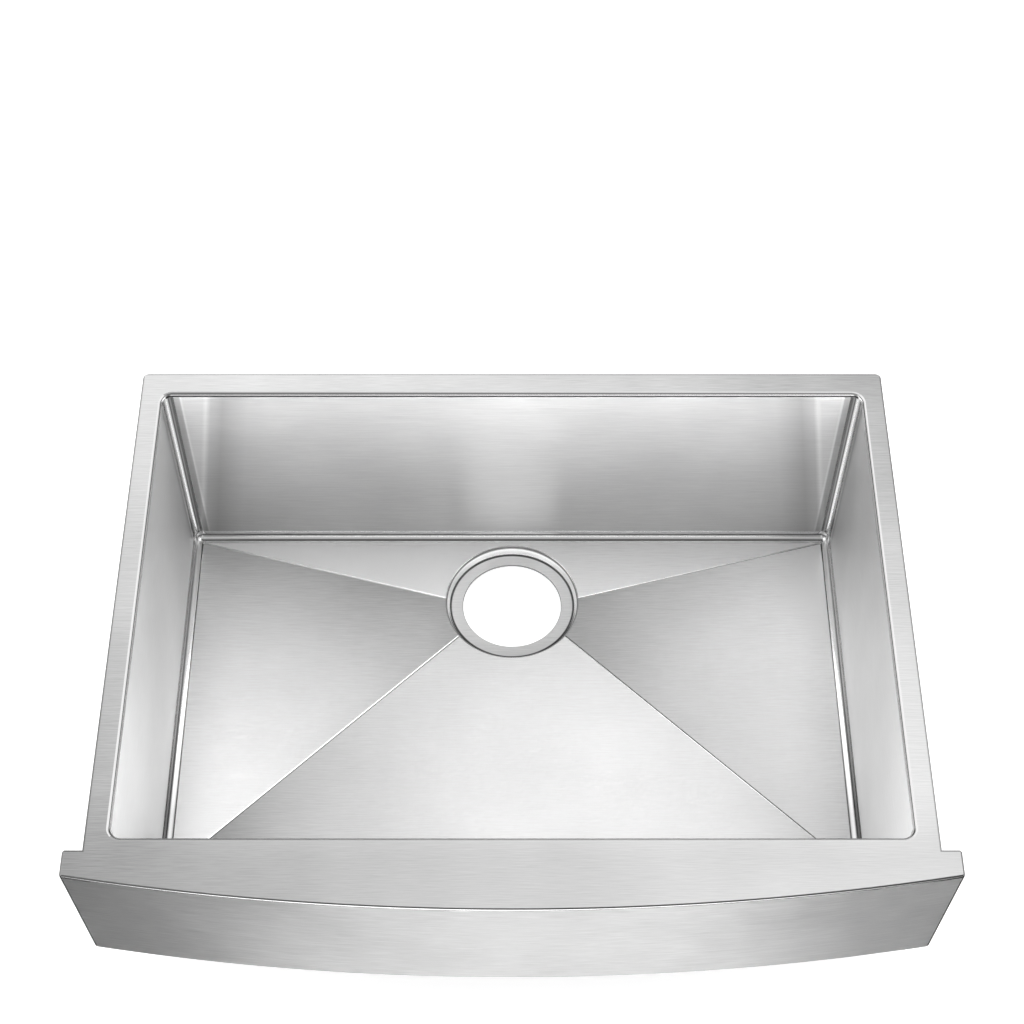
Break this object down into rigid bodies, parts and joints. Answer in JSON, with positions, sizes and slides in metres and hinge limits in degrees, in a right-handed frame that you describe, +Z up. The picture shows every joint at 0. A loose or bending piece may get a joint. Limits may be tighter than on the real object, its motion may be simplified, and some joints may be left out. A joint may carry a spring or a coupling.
{
  "type": "apron front sink",
  "caption": "Single bowl farmhouse kitchen sink of folded stainless sheet with a bowed apron front, creased floor and rear drain.",
  "frame": {"origin": "middle of the rim's back strip, on its top face, where a worktop rests on the rim", "axes": "+X to the right of somebody in front of the sink, +Y to its back, +Z up out of the rim"},
  "size_m": [0.6508, 0.496, 0.2115],
  "materials": {
    "bowl_steel": "brushed stainless steel, grain left to right on the flats, polished bends",
    "apron_steel": "brushed stainless steel, grain left to right",
    "bracket_steel": "plain rolled stainless steel",
    "pad_rubber": "dull dark grey damping rubber"
  },
  "bodies": {
    "root": {"bowl": "bowl_steel", "apron_front": "apron_steel", "apron_bracket_left": "bracket_steel", "apron_bracket_centre": "bracket_steel", "apron_bracket_right": "bracket_steel", "pad_apron": "pad_rubber", "pad_back": "pad_rubber", "pad_left": "pad_rubber", "pad_right": "pad_rubber", "pad_front": "pad_rubber", "pad_floor_front": "pad_rubber", "pad_floor_left": "pad_rubber", "pad_floor_right": "pad_rubber"}
  },
  "joints": []
}
